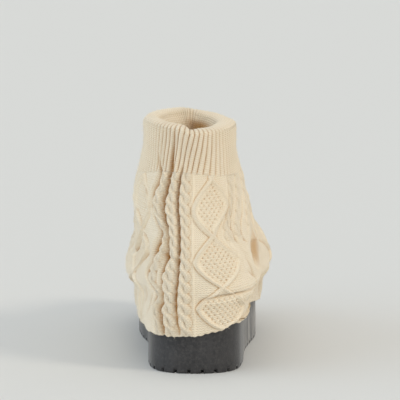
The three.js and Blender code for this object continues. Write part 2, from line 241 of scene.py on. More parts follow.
def closedGradient(grid):  # along the rows, the same on both sides of the front seam
    step = np.gradient(grid, axis=1)
    step[:, 0] = step[:, -1] = (step[:, 0] + step[:, -1]) / 2
    return step


def lengthAlong(points, axis):  # running length over the grid, from its first row or column
    step = np.linalg.norm(np.diff(points, axis=axis), axis=2)
    return np.concatenate([np.zeros_like(step.take([0], axis)), np.cumsum(step, axis=axis)], axis=axis)


def bells(rows):  # soft humps round the shoe, summed: (amount, angle, reach)
    return sum(amount * np.exp(-((wrapped(degrees - angle) / reach) ** 2)) for amount, angle, reach in rows)


rowStep, columnStep = closedGradient(cloth), np.gradient(cloth, axis=0)
normal = unit(np.cross(rowStep, columnStep))
alongRow, downColumn = unit(rowStep), -unit(columnStep)
arc = lengthAlong(cloth, 1)
arc -= arc[:, [int(np.abs(turns).argmin())]]  # millimetres to the outer side of the middle of the back
run = lengthAlong(cloth, 0)
run = run[outside["bodyRows"]] - run  # millimetres down from the rib
print("outside laid out", cloth.shape)

# The knit chart: lines between the columns of the pattern, as (ring, angle) down the shoe.

pattern = {
    "lines": [
        [(0, -180)], [(0, -133)], [(0, -119)], [(0, -105)], [(0, -91)],
        [(13.9, -37.8), (13.4, -34.2), (12.7, -36.5), (11.8, -41.2), (10.8, -42.7), (9.9, -38),
         (9, -29.3), (8.2, -31), (7.2, -34.6), (5.9, -37.3), (4.9, -40.3), (4.5, -39.2), (4, -32.6),
         (3.6, -25.4), (3.2, -23.4), (2.2, -25.7), (0.4, -23.4)],
        [(14, -21.2), (13.4, -22.1), (12.3, -24.8), (11.5, -27.9), (10.8, -27.9), (10.1, -26.6),
         (9.3, -23.9), (8, -22.5), (7.1, -21.8), (6.1, -22.3), (5.3, -23.4), (4.2, -21.8),
         (2.8, -18.4), (1.8, -20), (0.5, -17.1)],
        [(13.7, -9.2), (13, -11.5), (12, -12.6), (11.1, -13.5), (10.4, -13), (8.9, -12.8),
         (7.6, -12.4), (5.8, -11.7), (4.8, -10.8), (2.6, -10.6), (1.2, -9.4), (0, -7.4)],
        [(13.2, 2.2), (12.1, 2), (11.4, 0.4), (9, -2.7), (7.7, -3.4), (6.4, -3.1), (3.2, -2.2),
         (0.2, -1.3)],
        [(13, 47), (12.2, 46.5), (11.3, 44), (10.6, 38.5), (9.9, 33), (9.4, 29), (8.7, 27), (8, 28.5),
         (7.2, 31), (6.3, 33.5), (4.3, 30), (0, 31)],
        [(13, 57), (12.5, 55.8), (11.9, 54.2), (11.3, 51.8), (10.6, 45), (9.9, 40.5), (9.4, 38),
         (8.7, 37.4), (8.2, 38.4), (7, 41), (6, 43), (0, 44)],
        [(13, 78), (11.4, 72), (10.4, 62.3), (9.9, 59.5), (9.5, 54.5), (8.5, 49.4), (7.9, 49),
         (7.6, 51), (6.5, 54), (5, 56), (0, 57)],
        [(13, 93), (10, 82), (8.6, 77), (7.4, 72), (6.3, 67), (4.5, 66), (0, 71)],
        [(0, 134)], [(0, 149)], [(0, 164)], [(0, 180)],
    ],
    "cells": ["diamond", "cable", "cable", "cable", "diamond", "cable", "cable", "cable",
              "diamond", "cable", "cable", "cable", "diamond", "cable", "cable", "cable"],
    "cellStitches": [30, 5, 5, 5, 27, 5, 5, 5, 18, 5, 5, 5, 30, 5, 5, 5],
    "cableStart": [0, 2, 6, 3, 0, 7, 4.5, 5, 0, 1, 6, 3, 0, 2, 5, 1],
    "cableTurn": 9.3, "strandSway": 2.7, "strandRadius": 3.2, "strandRise": 0.8, "strandPlump": 0.85,
    "cableHalf": 5.9, "cableSpread": 1.1, "cableFull": 4.2, "cableHeight": 0.88,
    "frontCables": (1, 2, 3, 13, 14, 15), "frontCable": 0.7,
    "slackCables": (9, 10, 11), "slackCable": (0.15, 0.5), "slackRings": (7.4, 9),
    "tipRings": [-0.1, 4.23, 8.69, 13.09], "ridgeHeight": 2.5, "ridgeWidth": 2.0, "straight": 0.3,
    "slant": 0.84, "grooveDepth": 1.15, "groovePlace": 2.7, "grooveWidth": 0.8, "rightGroove": 0.45,
    "innerDiamond": 4, "backDiamond": 8, "backLeft": 0.8, "backRight": 0.88,
    "sideHalf": 0.42, "centreBlur": 0.4,
    "backCentre": [(13.1, 25.9), (11.2, 19.6), (8.7, 16.9), (6.3, 14.2), (4.2, 13.7), (2, 14.5), (0, 15.5)],
    "innerCentre": [(13.2, -62), (11.4, -63.5), (8.6, -56.5), (6.5, -60), (4.2, -59), (2, -62), (0, -60)],
    "diamondHalf": 17.0, "mossAcross": 4.7, "mossAlong": 5.8, "mossDepth": 1.2, "mossEdge": (1.8, 3.4),
    "sideRib": 0.6, "sideRibPlace": 1.6, "sideRibWidth": 0.9, "hemCalm": 0.4, "hemCalmRing": 0.7,
    "stitchWide": 2.4, "stitchTall": 1.8,
}


def softPath(rows, v, blur):  # a table of (ring, value) read smoothly over the rings
    table = np.array(sorted(rows), float)
    step, reach = 0.025, 40
    fine = np.linspace(-1, 17, 721)
    values = np.interp(fine, table[:, 0], table[:, 1])
    kernel = np.exp(-((np.arange(-reach, reach + 1) * step / blur) ** 2))
    values = np.convolve(np.pad(values, reach, mode="edge"), kernel / kernel.sum(), "valid")
    return np.interp(v, fine, values)


def pathArc(rows, blur=0.16):  # where such a path crosses each row, in mm along the row
    path = softPath(rows, rings, blur)
    return np.array([np.interp(angle, degrees, row) for angle, row in zip(path, arc)])[:, None]


def cableRelief(across, along):  # two strands of knit stitches winding round each other
    phase = np.pi * along / pattern["cableTurn"]
    height, middle = np.zeros(across.shape), np.zeros(across.shape)
    for half in (0, np.pi):
        centre = -pattern["strandSway"] * np.cos(phase + half)
        d = np.abs(across - centre) / pattern["strandRadius"]
        plump = pattern["strandPlump"] * pattern["strandRadius"] * np.maximum(0, 1 - d * d) ** 0.62
        strand = pattern["strandRise"] * np.sin(phase + half) + plump
        strand = np.where(d < 1, strand, 0)
        middle = np.where(strand > height, centre, middle)
        height = np.maximum(height, strand)
    return height, middle


# Crossing ridges round fields of moss stitch.
def diamondRelief(centre, leftHalf, rightHalf, leftEdge, rightEdge):
    side = arc - centre
    reach = np.where(side < 0, leftHalf, rightHalf)
    step = np.interp(rings, pattern["tipRings"], [3, 2, 1, 0])[:, None] % 1
    straight = pattern["straight"]
    width = reach * (straight * (1 - np.abs(2 * step - 1)) + (1 - straight) * np.sin(np.pi * step))
    gap = (np.abs(side) - width) * pattern["slant"]
    ridge = np.exp(-((gap / pattern["ridgeWidth"]) ** 2))
    moss = np.cos(2 * np.pi * side / pattern["mossAcross"]) * np.cos(2 * np.pi * run / pattern["mossAlong"])
    moss = 0.5 * np.maximum(moss, 0) - pattern["mossDepth"] * np.maximum(-moss, 0) ** 2
    field = moss * smooth(-gap, *pattern["mossEdge"])
    groove = np.exp(-(((gap - pattern["groovePlace"]) / pattern["grooveWidth"]) ** 2))
    groove = pattern["grooveDepth"] * groove * np.where(side < 0, 1, pattern["rightGroove"])
    edge = np.minimum(arc - leftEdge, rightEdge - arc)
    sideRib = np.exp(-(((edge - pattern["sideRibPlace"]) / pattern["sideRibWidth"]) ** 2))
    sideRib = pattern["sideRib"] * sideRib * (1 - ridge)
    return ridge * pattern["ridgeHeight"] + field + sideRib - groove, np.clip(ridge + sideRib, 0, 1)


relief, knitFace, wales = (np.zeros(arc.shape) for _ in range(3))
cellLines = [pathArc(rows) for rows in pattern["lines"]]
firstStitch = 0
for k, kind in enumerate(pattern["cells"]):
    left, right = cellLines[k], cellLines[k + 1]
    stitches = pattern["cellStitches"][k]
    inside = (arc >= left) & (arc < right) if k < len(pattern["cells"]) - 1 else arc >= left
    wale = firstStitch + (arc - left) / (right - left) * stitches
    if kind == "cable":
        half = (right - left) / 2
        narrow = np.minimum(half, pattern["cableSpread"] * pattern["cableHalf"])
        across = (arc - (left + right) / 2) * pattern["cableHalf"] / narrow
        height, middle = cableRelief(across, run - pattern["cableStart"][k])
        height = pattern["cableHeight"] * height * np.minimum(1, half / pattern["cableFull"])
        if k in pattern["slackCables"]:  # pulled nearly flat low on the outer side
            least, more = pattern["slackCable"]
            height = height * (least + more * smooth(rings, *pattern["slackRings"])[:, None])
        elif k in pattern["frontCables"]:
            height = height * pattern["frontCable"]
        face = np.clip(height, 0, 1)
        wale = np.where(height > 0, firstStitch + 2.5 + (across - middle) / pattern["stitchWide"], wale)
    else:
        centre = (left + right) / 2
        leftHalf = rightHalf = np.minimum((right - left) * pattern["sideHalf"], pattern["diamondHalf"])
        if k == pattern["backDiamond"]:
            centre = pathArc(pattern["backCentre"], pattern["centreBlur"])
            leftHalf = (centre - left) * pattern["backLeft"]
            rightHalf = (right - centre) * pattern["backRight"]
        elif k == pattern["innerDiamond"]:
            centre = pathArc(pattern["innerCentre"], pattern["centreBlur"])
        height, face = diamondRelief(centre, leftHalf, rightHalf, left, right)
    relief, knitFace, wales = (np.where(inside, new, old) for new, old in
                               ((height, relief), (face, knitFace), (wale, wales)))
    firstStitch += stitches

# One-by-one rib of the collar: plump wales with narrow furrows, leaning a little at the back.
rib = {
    "count": 74, "height": 2.0, "plump": 0.6, "blend": (-0.1, 0.14),
    "lean": 4.3, "leanAngle": 2, "leanReach": 28,
    "edge": [  # angle, ring where the rib begins
        (-180, 12.9), (-81, 12.85), (-38, 13.5), (-11, 13.6), (12, 13.5), (38, 13.2), (76, 12.9), (180, 12.9),
    ],
}
rimArc = arc[-1]
lean = rib["lean"] * np.exp(-(((degrees - rib["leanAngle"]) / rib["leanReach"]) ** 2))
leaning = degrees + lean * (rimRing - rings)[:, None]
ribPhase = (np.interp(leaning, degrees, rimArc) - rimArc[0]) / (rimArc[-1] - rimArc[0]) * rib["count"]
ribRound = np.abs(np.sin(np.pi * ribPhase)) ** rib["plump"]
ribWave = rib["height"] * (ribRound - 0.5)
ribEdge = np.interp(degrees, *zip(*rib["edge"]))
ribShare = smooth(rings[:, None] - ribEdge[None, :], *rib["blend"])
relief = relief * (1 - ribShare) + ribWave * ribShare
knitFace = np.maximum(knitFace, ribShare)
wales = np.where(ribShare > 0.5, ribPhase, wales)
relief *= pattern["hemCalm"] + (1 - pattern["hemCalm"]) * smooth(rings, 0, pattern["hemCalmRing"])[:, None]
print("knit charted", firstStitch, "stitches round")

# Creases of the slack knit: (ring, angle, depth, width) down each, how far its mouth
# closes, and its share of painted warm shade where that isn't 1.
creaseForm = {
    "edgePlace": 2.3, "edgeWidth": 1.1, "mouthPlace": 1.25, "mouthWidth": 0.7,  # in widths of the crease
    "edgeSwell": 0.22, "fullDepth": 4, "calm": 0.6,  # share of the depth, mm, share of the relief pressed flat
    "rowsNear": 50, "columnsNear": 60, "wholeTurn": 700, "longestStep": 40,
}
creases = [
    # long creases down the back, from the left
    ([(14.4, -39, 0.8, 1.6), (13.9, -38, 2.5, 1.8), (13.4, -34.6, 4.5, 2.1), (12.7, -36.5, 5, 2.1),
      (11.8, -41.2, 4.8, 2), (10.8, -42.7, 4, 1.7), (9.9, -38, 4, 1.7), (9, -29.3, 5, 2.1),
      (8.2, -31, 6, 2.6), (7.2, -34.6, 7, 3), (5.9, -37.3, 6.5, 2.6), (4.9, -40.3, 5, 2),
      (4.5, -39.2, 3.5, 1.7), (4, -32.6, 3, 1.6), (3.6, -25.4, 3, 1.6), (3.1, -23.2, 3, 1.7),
      (2.2, -25.5, 3, 1.7), (1, -25.2, 1, 1.6), (0.3, -23.6, 0.8, 1.6)], 0.15),
    ([(16, -17.5, 0.4, 1.2), (15.7, -18, 1, 1.3), (15.2, -20, 1.6, 1.4), (14.6, -21.4, 3, 1.7),
      (14.1, -21.6, 4, 1.9), (13.6, -21.4, 4.5, 1.9), (13, -23.4, 4.5, 1.9), (12.3, -24.8, 4.5, 1.8),
      (11.5, -27.9, 4.5, 1.8), (10.8, -27.9, 4.5, 1.8), (10.1, -26.6, 5, 2.1), (9.3, -23.9, 2.2, 1.7),
      (8, -22.5, 2, 1.7), (7.1, -21.8, 5.5, 2.2), (6.1, -22.3, 5.5, 2.1), (5.3, -23.4, 4.5, 1.8),
      (4.5, -22.5, 4, 1.8), (3.8, -20.6, 1.8, 1.7), (2.8, -18.4, 1.5, 1.7), (1.8, -20, 3, 1.8),
      (1.2, -18, 3.8, 1.8), (0.2, -16.6, 3, 1.8)], 0.15),
    ([(13.9, -8.6, 1.2, 1.2), (13.3, -10.6, 2.8, 1.2), (12, -12.6, 3.2, 1.3), (11.1, -13.5, 3.4, 1.3),
      (10.4, -13, 3.4, 1.3), (8.9, -12.8, 3.2, 1.3), (7.6, -12.4, 3.6, 1.4), (5.8, -11.7, 3.4, 1.4),
      (4.8, -10.8, 3.2, 1.3), (3.5, -10.8, 3, 1.4), (2.6, -10.6, 2.8, 1.5), (1.2, -9.4, 2, 1.4),
      (0.2, -7.4, 1.2, 1.3)], 0.1),
    # lines beside the cables of the outer side
    ([(12.9, 56.5, 0.4, 1.1), (12.4, 55.6, 1.8, 1.1), (11.3, 51.8, 2, 1.1), (10.6, 45, 2, 1.1),
      (9.9, 40.5, 2, 1.1), (9.4, 38, 2.2, 1.1), (8.7, 37.4, 2, 1.1), (8.2, 38.4, 1.2, 1.1),
      (7.6, 40, 0.2, 1.1)], 0.4, 1.8),
    ([(11.4, 71, 0.3, 1.1), (10.5, 63, 1.8, 1.1), (9.9, 59.5, 2.2, 1.1), (9.5, 54.5, 2.2, 1.1),
      (8.5, 49.4, 2.4, 1.1), (7.9, 49, 1.8, 1.1), (7.6, 52, 0.8, 1.1)], 0.4, 2.4),
    # pocket of the outer fold
    ([(8, 73, 1, 6), (7.5, 67, 5, 7), (6.9, 63, 9.5, 8), (6.3, 61, 11.5, 8.5), (5.7, 60.5, 9, 8),
      (5.1, 61, 4, 7), (4.5, 61, 0.6, 6)], 0.0, 0.1),
    # under the lip of the fold round the outer heel, and a tuck above it
    ([(1.6, 1.3, 0.6, 1.6), (2.4, 0.9, 1.2, 1.8), (3, 2.7, 2, 2), (3.3, 7.6, 2.4, 2.4),
      (3.5, 14.4, 3, 2.8), (3.6, 22, 3.8, 3.2), (3.5, 32, 4.6, 3.4), (3.4, 45, 5.2, 3.4),
      (3.3, 58, 5.5, 3.4), (3.2, 71, 5, 3.4), (3.2, 92, 3, 3.4), (3.4, 112, 0.5, 3)], 0.5, 0.35),
    ([(5.3, 36, 0.4, 1.8), (4.9, 39, 1.6, 1.8), (4.4, 43, 1.2, 1.8), (4.2, 47, 0.3, 1.8)], 0.4),
    # folds over the inner waist
    ([(9.9, -88, 1.5, 1.6), (8.6, -86, 2.6, 1.7), (7.8, -82.8, 2.6, 1.7), (7.2, -76, 2.6, 1.7),
      (6.5, -75.2, 2.4, 1.6), (5.9, -75.2, 1, 1.6)], 0.5),
    ([(7.6, -61.4, 0.6, 1.4), (6.9, -63.5, 2.2, 1.5), (6.1, -68.5, 2.8, 1.6), (5.4, -68.5, 2.6, 1.6),
      (4.6, -72, 1, 1.6)], 0.5),
    ([(7.3, -84, 1, 2.6), (6.4, -87, 4.5, 3), (5.4, -90, 6, 3.2), (4.6, -90, 4, 3),
      (4, -88, 1, 2.6)], 0.6),
    # tuck across the cables of the back
    ([(7.4, -32.5, 0.6, 2), (7.15, -27, 1.6, 2.2), (6.9, -20, 2, 2.2), (6.6, -14, 1.6, 2),
      (6.4, -12.5, 0.5, 2)], 0.3),
    # pleats above the hem, four inside and two outside
    ([(3.5, -40, 0.4, 2.2), (2.8, -42.5, 1.5, 2.4), (1.7, -47, 1.6, 2.4),
      (0.5, -45.5, 0.9, 2.2)], 0.2),
    ([(3.6, -30, 0.4, 1.8), (2.95, -28.8, 1.4, 1.8), (1.9, -33.8, 1.4, 2), (0.7, -37, 0.8, 2)], 0.2),
    ([(3, -58, 0.4, 2.8), (2, -56, 1.4, 2.8), (0.4, -57, 0.8, 2.8)], 0.2),
    ([(2.9, -70, 0.4, 2.6), (1.9, -69.5, 1.8, 2.6), (0.3, -69, 1, 2.6)], 0.2),
    ([(2.9, 96, 0.5, 3.4), (1.8, 98, 1.8, 3.4), (0.5, 101, 1, 3.4)], 0.2),
    ([(3, 112, 0.5, 3.6), (1.8, 115, 2, 3.6), (0.5, 118, 1, 3.6)], 0.2),
    # soft folds of the vamp
    ([(10.9, 172, 0.6, 4), (10.2, 150, 2.6, 4.2), (9.2, 128, 2.6, 4.2), (8.6, 114, 0.6, 4)], 0.4),
    ([(11.2, -160, 0.6, 4), (10.2, -142, 2.6, 4.2), (9, -120, 2.6, 4.2), (8.4, -106, 0.6, 4)], 0.4),
    ([(8.3, -170, 0.6, 4.5), (8.1, 160, 2.2, 4.5), (7.8, 140, 0.6, 4.5)], 0.3),
    # bent lines of the inner diamonds
    ([(10.3, -75, 0.6, 1.2), (10, -66, 1.6, 1.3), (9.2, -59.2, 2, 1.3), (8.5, -56.3, 1.6, 1.3),
      (8, -50, 1.6, 1.3), (7.4, -46.1, 1.8, 1.3), (6.8, -45.5, 1.6, 1.3), (6.2, -48.4, 1.4, 1.3),
      (5.5, -52.2, 1.2, 1.3), (4.6, -57, 1.2, 1.3), (3.9, -58.9, 0.6, 1.3)], 0.1),
    ([(13.3, -66, 0.6, 1.2), (12.6, -60.7, 1.8, 1.3), (12, -52, 1.6, 1.3),
      (11.4, -48, 0.5, 1.2)], 0.1),
]
swells = [  # wide soft tucks, and the flap beside the pocket
    [(6.6, 95, -0.3, 11), (5.8, 92, -1.4, 11), (5, 88, -1.4, 10), (4.3, 86, -0.3, 9)],
    [(11.8, 92, 0.4, 14), (10.8, 91, 2.5, 16), (9.8, 90, 4, 17), (8.8, 90, 3.5, 17),
     (7.8, 93, 3.5, 16), (6.9, 97, 3.5, 14), (6, 98, 2.5, 13), (5.2, 96, 0.5, 12)],
    [(3.2, -88, 0.3, 12), (2.4, -88, 2, 14), (1.4, -87, 2, 14), (0.6, -86, 0.5, 14)],
]
# Warm shade deep in the pocket of the outer fold and under the inner one: (ring, angle, amount, width).
deepShade = [
    [(8.3, 76, 0.1, 3.5), (7.5, 72, 0.4, 4.5), (6.9, 69, 0.6, 5.5), (6.3, 67.5, 0.65, 5.5),
     (5.7, 66, 0.6, 5.5), (5, 65, 0.3, 4.5), (4.5, 64, 0.1, 3.5)],
    [(6.8, -84, 0.15, 3), (5.8, -89, 0.35, 4), (4.8, -91, 0.25, 4), (4.2, -90, 0.1, 3)],
]


def gridValue(grid, row, column):
    i, j = np.minimum(row.astype(int), grid.shape[0] - 2), np.minimum(column.astype(int), grid.shape[1] - 2)
    s, t = row - i, column - j
    low = grid[i, j] * (1 - t) + grid[i, j + 1] * t
    return low * (1 - s) + (grid[i + 1, j] * (1 - t) + grid[i + 1, j + 1] * t) * s


def rounded(rows):  # more points on a crease, with its corners eased
    rows = np.array(rows, float)
    jump = (np.diff(rows[:, 1]) + 180) % 360 - 180
    rows[:, 1] = rows[0, 1] + np.r_[0, np.cumsum(jump)]
    at = np.linspace(0, len(rows) - 1, (len(rows) - 1) * 4 + 1)
    fine = np.stack([np.interp(at, np.arange(len(rows)), rows[:, k]) for k in range(4)], 1)
    for _ in range(3):
        fine[1:-1] = (fine[:-2] + 2 * fine[1:-1] + fine[2:]) / 4
    fine[:, 1] = wrapped(fine[:, 1])
    return fine


def alongCrease(rows):  # for the grid near a crease: distance, width, depth and offset
    path = rounded(rows)
    row = np.interp(path[:, 0], rings, np.arange(len(rings)))
    column = np.interp(path[:, 1] / 360, turns, np.arange(len(turns)))
    x, y = gridValue(arc, row, column), gridValue(run, row, column)
    rowsNear, columnsNear = creaseForm["rowsNear"], creaseForm["columnsNear"]
    span = (slice(max(int(row.min()) - rowsNear, 0), int(row.max()) + rowsNear + 1),
            slice(max(int(column.min()) - columnsNear, 0), int(column.max()) + columnsNear + 1))
    if column.max() - column.min() > creaseForm["wholeTurn"]:  # it runs over the front seam
        span = (span[0], slice(None))
    gx, gy = arc[span], run[span]
    nearest = np.full(gx.shape, 1e9)
    depth, width, offX, offY = (np.zeros(gx.shape) for _ in range(4))
    for k in range(len(path) - 1):
        ax, ay, bx, by = x[k], y[k], x[k + 1] - x[k], y[k + 1] - y[k]
        if abs(bx) > creaseForm["longestStep"]:
            continue
        t = np.clip(((gx - ax) * bx + (gy - ay) * by) / max(bx * bx + by * by, 1e-9), 0, 1)
        dx, dy = gx - ax - t * bx, gy - ay - t * by
        far = np.hypot(dx, dy)
        closer = far < nearest
        nearest = np.where(closer, far, nearest)
        offX, offY = np.where(closer, dx, offX), np.where(closer, dy, offY)
        depth = np.where(closer, path[k, 2] + t * (path[k + 1, 2] - path[k, 2]), depth)
        width = np.where(closer, path[k, 3] + t * (path[k + 1, 3] - path[k, 3]), width)
    return span, nearest, np.maximum(width, 0.1), depth, offX, offY


sunk, creaseShade, tucked, slideAcross, slideDown = (np.zeros(arc.shape) for _ in range(5))
for rows, closing, *creaseShadeShare in creases:
    span, nearest, width, depth, offX, offY = alongCrease(rows)
    d = nearest / width
    swell = np.exp(-(((d - creaseForm["edgePlace"]) / creaseForm["edgeWidth"]) ** 2))
    press = depth * (np.exp(-(d**1.5)) - creaseForm["edgeSwell"] * swell)
    sunk[span] += press
    # painted warm shade along each crease, by its depth and its share
    creaseShade[span] += press * (creaseShadeShare[0] if creaseShadeShare else 1)
    mouth = np.exp(-(((d - creaseForm["mouthPlace"]) / creaseForm["mouthWidth"]) ** 2))
    pull = closing * width * np.clip(depth / creaseForm["fullDepth"], 0, 1) * mouth
    pull /= np.maximum(nearest, 1e-6)
    slideAcross[span] -= offX * pull
    slideDown[span] -= offY * pull
for rows in swells:
    span, nearest, width, depth, _, _ = alongCrease(rows)
    tucked[span] += depth * np.exp(-((nearest / width) ** 2))
relief *= 1 - creaseForm["calm"] * np.clip(sunk / creaseForm["fullDepth"], 0, 1)


def lumps(points):  # slow unevenness of soft cloth, up to 0.8 mm
    x, y, z = (points[..., k] for k in range(3))
    return (0.5 * np.sin(x / 9.1 + z / 13.7 + 1.3) * np.sin(y / 15.3 - z / 10.9 + 0.4)
            + 0.3 * np.sin(x / 5.7 - y / 7.9 + z / 6.3))


def blurred(grid, size):
    weights = np.exp(-0.5 * (np.arange(-2 * size, 2 * size + 1) / size) ** 2)
    weights /= weights.sum()
    wide = np.pad(grid, ((2 * size, 2 * size), (0, 0)), mode="edge")
    wide = sum(w * wide[k : k + grid.shape[0]] for k, w in enumerate(weights))
    wide = np.concatenate([wide[:, -2 * size - 1 : -1], wide, wide[:, 1 : 2 * size + 1]], axis=1)
    return sum(w * wide[:, k : k + grid.shape[1]] for k, w in enumerate(weights))


# Warm shade of the hollows; near and wide hold a blur in grid steps, a start and rise in mm, and a share.
shade = {
    "near": (3, 0.2, 1.6, 0.75), "wide": (9, 0.8, 3.5, 0.6),
    "creaseShadeLeast": 0.3, "creaseShadeBand": (-92, -66, 42, 66), "creaseShadeStart": 0.4, "creaseShadeRise": 3.0,
    "furrowTop": 1.15, "furrowFall": 1.75, "furrowLeast": 0.35, "furrowMore": 0.55,
    "furrowAngle": -8, "furrowReach": 40,
}
# the painted crease shade is full across the back and falls to a share of it on the sides and front
creaseShade *= shade["creaseShadeLeast"] + (1 - shade["creaseShadeLeast"]) * band(degrees, *shade["creaseShadeBand"])[None, :]
height = relief - sunk
hollow = np.zeros(arc.shape)
for grid, (size, start, rise, share) in ((height, shade["near"]), (relief - creaseShade, shade["wide"])):
    hollow += share * np.clip((blurred(grid, size) - grid - start) / rise, 0, 1)
hollow = np.clip(np.maximum(hollow, (creaseShade - shade["creaseShadeStart"]) / shade["creaseShadeRise"]), 0, 1)
for rows in deepShade:
    span, nearest, width, amount, _, _ = alongCrease(rows)
    hollow[span] = np.maximum(hollow[span], amount * np.exp(-((nearest / width) ** 2)))
# painted shade in the furrows of the rib, stronger across the back
furrow = np.clip(shade["furrowTop"] - shade["furrowFall"] * ribRound, 0, 1)
backShare = np.exp(-(((degrees - shade["furrowAngle"]) / shade["furrowReach"]) ** 4))
furrow = furrow * (shade["furrowLeast"] + shade["furrowMore"] * backShare)[None, :]
hollow = np.maximum(hollow, furrow * ribShare)

edges = {  # the rim's dips and the hem's shifts, in mm: (amount, angle, reach); waves: (amount, count, start)
    "rimDips": [(2.6, 2, 8)], "rimLow": 0.8, "rimLowBand": (2, 14, 35, 60),
    "rimWaves": [(0.6, 3, 40), (0.3, 7, 0)],
    "rimFrom": 14.4, "hemShifts": [(1.8, -42, 14), (-3, -4, 16), (1.2, 50, 16)], "hemTo": 1.8,
}
rimDip = bells(edges["rimDips"]) + edges["rimLow"] * band(degrees, *edges["rimLowBand"])
for amount, count, start in edges["rimWaves"]:
    rimDip += amount * np.sin(np.radians(degrees * count + start))
surface = cloth + normal * (height - tucked + lumps(cloth))[..., None]
surface += alongRow * slideAcross[..., None] + downColumn * slideDown[..., None]
surface[..., 2] -= rimDip[None, :] * smooth(rings, edges["rimFrom"], rimRing)[:, None]
surface[..., 2] += bells(edges["hemShifts"])[None, :] * (1 - smooth(rings, 0, edges["hemTo"]))[:, None]
stitchGrid = np.stack([wales, run / pattern["stitchTall"]], -1)
print("creases pressed", len(creases))


def meshFromGrid(name, points, stitches, faceShare, hollowShare, flip=False):
    rows, across = points.shape[:2]
    corner = (np.arange(rows - 1)[:, None] * across + np.arange(across - 1)[None, :]).ravel()
    quads = np.stack([corner, corner + 1, corner + across + 1, corner + across], 1)
    if flip:
        quads = quads[:, ::-1]
    mesh = bpy.data.meshes.new(name)
    mesh.vertices.add(rows * across)
    mesh.vertices.foreach_set("co", toFrame(points).astype(np.float32).ravel())
    mesh.loops.add(quads.size)
    mesh.loops.foreach_set("vertex_index", quads.ravel().astype(np.int32))
    mesh.polygons.add(len(quads))
    mesh.polygons.foreach_set("loop_start", np.arange(0, quads.size, 4, dtype=np.int32))
    mesh.update(calc_edges=True)
    layer = mesh.uv_layers.new(name="stitch")
    layer.data.foreach_set("uv", stitches.reshape(-1, 2)[quads.ravel()].astype(np.float32).ravel())
    # the second attribute carries the share of painted warm shade that the yarn mixes into its colour
    for title, values in (("knitFace", faceShare), ("hollow", hollowShare)):
        attribute = mesh.attributes.new(title, "FLOAT", "POINT")
        attribute.data.foreach_set("value", values.astype(np.float32).ravel())
    mesh.validate()
    mesh.shade_smooth()
    piece = bpy.data.objects.new(name, mesh)
    bpy.context.scene.collection.objects.link(piece)
    return piece


# The knit body in three pieces with the rolled edge of the hem below.
hem = {"rows": 5, "radius": 1.25, "ragged": (0.35, 0.3), "raggedReach": 62, "raggedRows": (1, 0.6, 0.25)}
ribRow = outside["bodyRows"]
ragged = hem["ragged"][0] * np.sin(np.pi * wales[0]) + hem["ragged"][1] * np.sin(wales[0] * 0.9 + 1)
ragged *= np.exp(-((degrees / hem["raggedReach"]) ** 4))
surface[: len(hem["raggedRows"]), :, 2] += ragged * np.array(hem["raggedRows"])[:, None]
hemRows = []
for k in range(hem["rows"]):
    a = math.pi * k / hem["rows"]
    edge = surface[0] - normal[0] * (hem["radius"] * (1 + math.cos(a)))
    edge[:, 2] -= hem["radius"] * math.sin(a)
    hemRows.append(edge)


def withHem(grid):
    return np.concatenate([np.repeat(grid[:1], hem["rows"], 0), grid[: ribRow + 1]])


bodyGrid = np.concatenate([np.array(hemRows), surface[: ribRow + 1]])
bodyStitch, bodyFace, bodyHollow = withHem(stitchGrid), withHem(knitFace), withHem(hollow)
quarter, half = outside["frontColumns"] // 2, outside["backColumns"] // 2
knitPieces = []
for name, columns in (("knit_inner_heel", np.arange(quarter, quarter + half + 1)),
                      ("knit_outer_heel", np.arange(quarter + half, quarter + 2 * half + 1)),
                      ("knit_vamp", np.r_[quarter + 2 * half : len(turns) - 1, 0 : quarter + 1])):
    knitPieces.append(meshFromGrid(name, bodyGrid[:, columns], bodyStitch[:, columns],
                                   bodyFace[:, columns], bodyHollow[:, columns]))

# Ribbed collar: outside, plump rolled rim and the turned-in inside, one continuous strip.

collar = {
    "thick": 11.5, "plump": [(4, 80, 38), (2.5, -135, 32), (-2, 176, 8)],  # amount, angle, reach
    "sag": [(7, -140, 60), (3, 120, 45)], "sagEnd": 0.85, "pit": [(0.85, 152, 36)], "pitDepth": 0.2,
    "rimRise": 4.0, "ribShare": 0.8, "ribRise": 0.7, "rollRows": 16, "innerRows": 26,
    "taper": (0.82, 1.0), "above": 0.2, "clearance": 0.1,
}
top = surface[-1] - normal[-1] * ribWave[-1][:, None]
flat = unit(normal[-1] * np.array([1, 1, 0]))
thick = collar["thick"] + bells(collar["plump"])
sag = bells(collar["sag"])
ribTop = ribWave[-1] * collar["ribShare"]
rolled, inner = [], []
for k in range(1, collar["rollRows"] + 1):
    a = math.pi * k / collar["rollRows"]
    across = thick / 2 * (1 - math.cos(a))
    point = top - flat * across[:, None] + flat * (ribTop * math.cos(a))[:, None]
    point[:, 2] += (collar["rimRise"] + ribTop * collar["ribRise"]) * math.sin(a)
    rolled.append(point)
for k in range(1, collar["innerRows"] + 1):
    t = k / collar["innerRows"]
    v = np.full(len(turns), rimRing - t * (rimRing - ribRing - collar["above"]))
    point, out = slouched(turns, v)
    taper = smooth(t, *collar["taper"])
    slack = sag * math.sin(math.pi * min(t / collar["sagEnd"], 1))
    inset = (thick + slack) * (1 - taper) + (upperForm["wall"] + collar["clearance"]) * taper
    point = point - out * (inset + ribTop * (1 - taper))[:, None]
    point[:, 2] -= rimDip * (1 - t)
    inner.append(point)
collarGrid = np.concatenate([surface[ribRow:], np.array(rolled), np.array(inner)])
extra = len(rolled) + len(inner)
rimSteps = np.linalg.norm(np.diff(collarGrid[-extra - 1 :], axis=0), axis=2).mean(axis=1)
rimCourse = run[-1].mean() / pattern["stitchTall"] - np.cumsum(rimSteps) / pattern["stitchTall"]
rimStitch = np.stack(np.broadcast_arrays(ribPhase[-1][None, :], rimCourse[:, None]), -1)
depthIn = np.r_[np.zeros(len(rolled)), np.linspace(0, 1, len(inner))][:, None]
